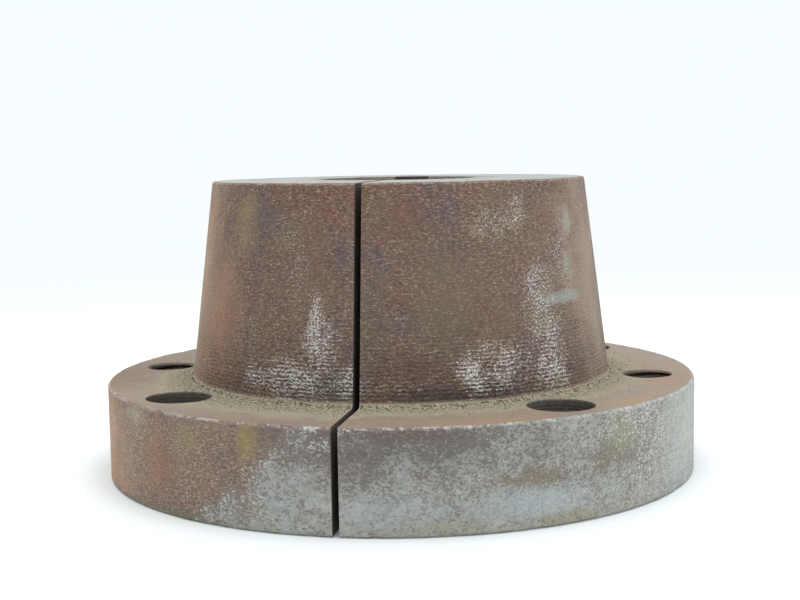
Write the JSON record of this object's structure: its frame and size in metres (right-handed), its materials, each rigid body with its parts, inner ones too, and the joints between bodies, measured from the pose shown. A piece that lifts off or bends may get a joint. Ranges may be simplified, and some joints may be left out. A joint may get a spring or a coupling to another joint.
{
  "type": "split taper bushing",
  "caption": "Flanged split bushing with a tapered barrel, keyed bore, plain cap screw holes, tapped jacking holes and a key set screw; clamps a pulley on its shaft.",
  "frame": {"origin": "on the bore's axis at the flange's back face", "axes": "+Z along the bore's axis, from the flange towards the nose of the barrel; the saw cut is on the -Y side and the keyway on the +Y side; the jacking holes are on X"},
  "size_m": [0.1016, 0.1016, 0.0497],
  "materials": {
    "bushing_iron": "turned iron, brown with surface rust, worn bright in patches",
    "black_oxide_steel": "black oxide, lightly oiled"
  },
  "bodies": {
    "left_half": {"bushing_left_half": "bushing_iron"},
    "right_half": {"bushing_right_half": "bushing_iron"},
    "set_screw": {"key_set_screw": "black_oxide_steel"}
  },
  "joints": [
    {"name": "split_close", "type": "hinge", "parent": "left_half", "child": "right_half", "pos_m": [0, 0.0156, 0.02485], "axis": [0, 0, -1], "range_deg": [0, 0.55], "stiffness_Nm_per_rad": 300},
    {"name": "set_screw_travel", "type": "slide", "parent": "left_half", "child": "set_screw", "axis": [0, 1, 0], "range_m": [-0.001, 0.036]}
  ]
}
